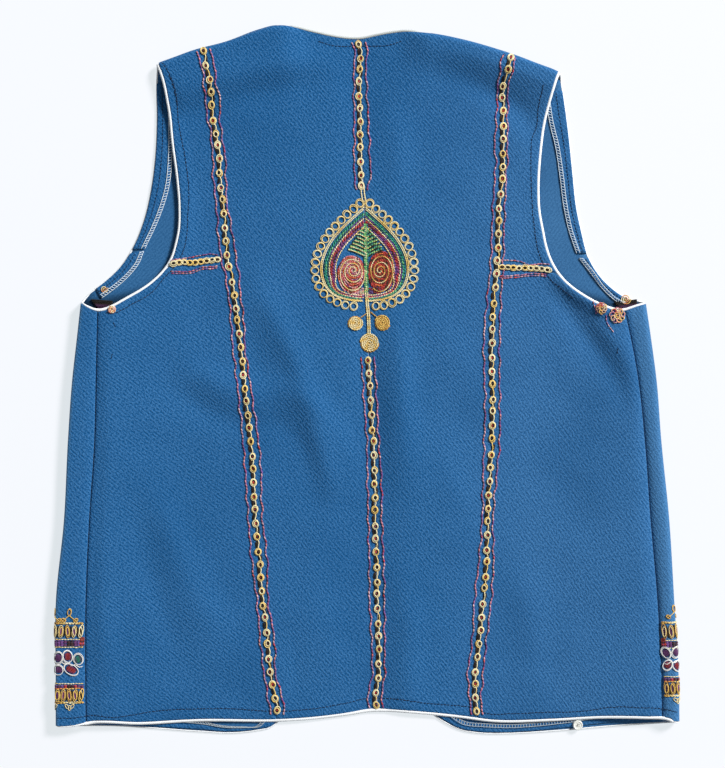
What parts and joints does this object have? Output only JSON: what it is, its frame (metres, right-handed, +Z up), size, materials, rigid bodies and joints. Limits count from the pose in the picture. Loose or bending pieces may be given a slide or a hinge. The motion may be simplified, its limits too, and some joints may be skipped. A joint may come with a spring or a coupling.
{
  "type": "embroidered folk vest",
  "caption": "Sleeveless folk vest of blue wool twill, laid flat with its back up: white piped edges, panel seams covered by embroidery, open fronts beneath and a small button inside the hem.",
  "frame": {"origin": "middle of the flat underside of the laid vest", "axes": "+Z up from the surface it lies on, +Y towards the neck, +X to the right of someone looking down at the back"},
  "size_m": [0.5312, 0.6032, 0.0115],
  "materials": {
    "wool_twill": "matte wool twill with a fine diagonal rib",
    "facing": "smooth matte cloth on the wrong side",
    "piping": "folded off-white braid, matte",
    "button": "pearly, polished",
    "gold_thread": "couched cord with a soft metallic sheen",
    "colour_thread": "twisted embroidery thread with a satin sheen",
    "dark_thread": "matte braid and sewing thread",
    "white_thread": "matte overlock and embroidery thread"
  },
  "bodies": {
    "root": {"back_centre_left": "wool_twill", "back_centre_right": "wool_twill", "back_side_left": "wool_twill", "back_side_right": "wool_twill", "back_yoke_left": "wool_twill", "back_yoke_right": "wool_twill", "front_left": "wool_twill", "front_right": "wool_twill", "armhole_facing_left_upper": "facing", "armhole_facing_left_lower": "facing", "armhole_facing_right_upper": "facing", "armhole_facing_right_lower": "facing", "hem_facing_left": "facing", "hem_facing_right": "facing", "piping_armhole_left": "piping", "piping_armhole_right": "piping", "piping_hem": "piping", "piping_neck": "piping", "button": "button"}
  },
  "joints": []
}
